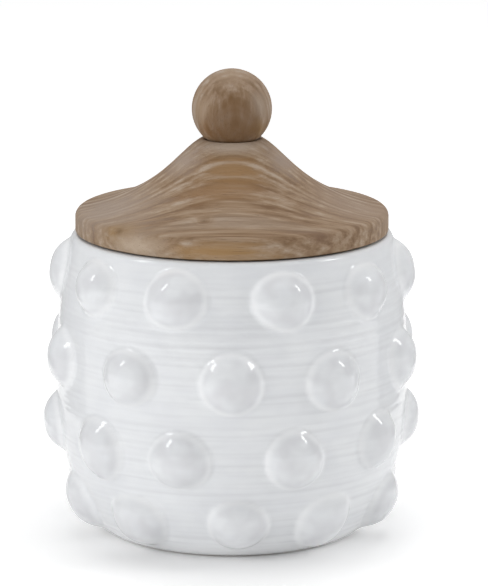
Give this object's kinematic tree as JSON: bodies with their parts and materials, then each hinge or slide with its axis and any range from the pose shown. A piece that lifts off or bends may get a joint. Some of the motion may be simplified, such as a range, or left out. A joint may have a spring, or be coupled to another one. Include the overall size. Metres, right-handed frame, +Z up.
{
  "type": "canister",
  "caption": "Barrel-shaped glazed ceramic canister with raised round studs, a lift-off turned wooden lid with a ball knob and a silicone seal, for storing dry food.",
  "frame": {"origin": "centre of the circle that the foot stands on", "axes": "+Z up along the axis of the jar and lid, -Y towards the viewer of the picture, +X to the viewer's right"},
  "size_m": [0.1414, 0.143, 0.1747],
  "materials": {
    "glaze": "clear gloss over white clay",
    "lid_wood": "sanded, matt oil",
    "knob_wood": "sanded, satin oil",
    "silicone": "translucent matt silicone",
    "zinc": "zinc plated"
  },
  "bodies": {
    "jar": {"jar_body": "glaze"},
    "seal": {"lid_seal": "silicone"},
    "lid": {"lid": "lid_wood", "knob": "knob_wood", "knob_screw": "zinc"}
  },
  "joints": [
    {"name": "lid_lift", "type": "slide", "parent": "jar", "child": "seal", "axis": [0, 0, 1], "range_m": [0, 0.12]},
    {"name": "lid_turn", "type": "hinge", "parent": "seal", "child": "lid", "pos_m": [0, 0, 0.1139], "axis": [0, 0, 1], "continuous": true}
  ]
}
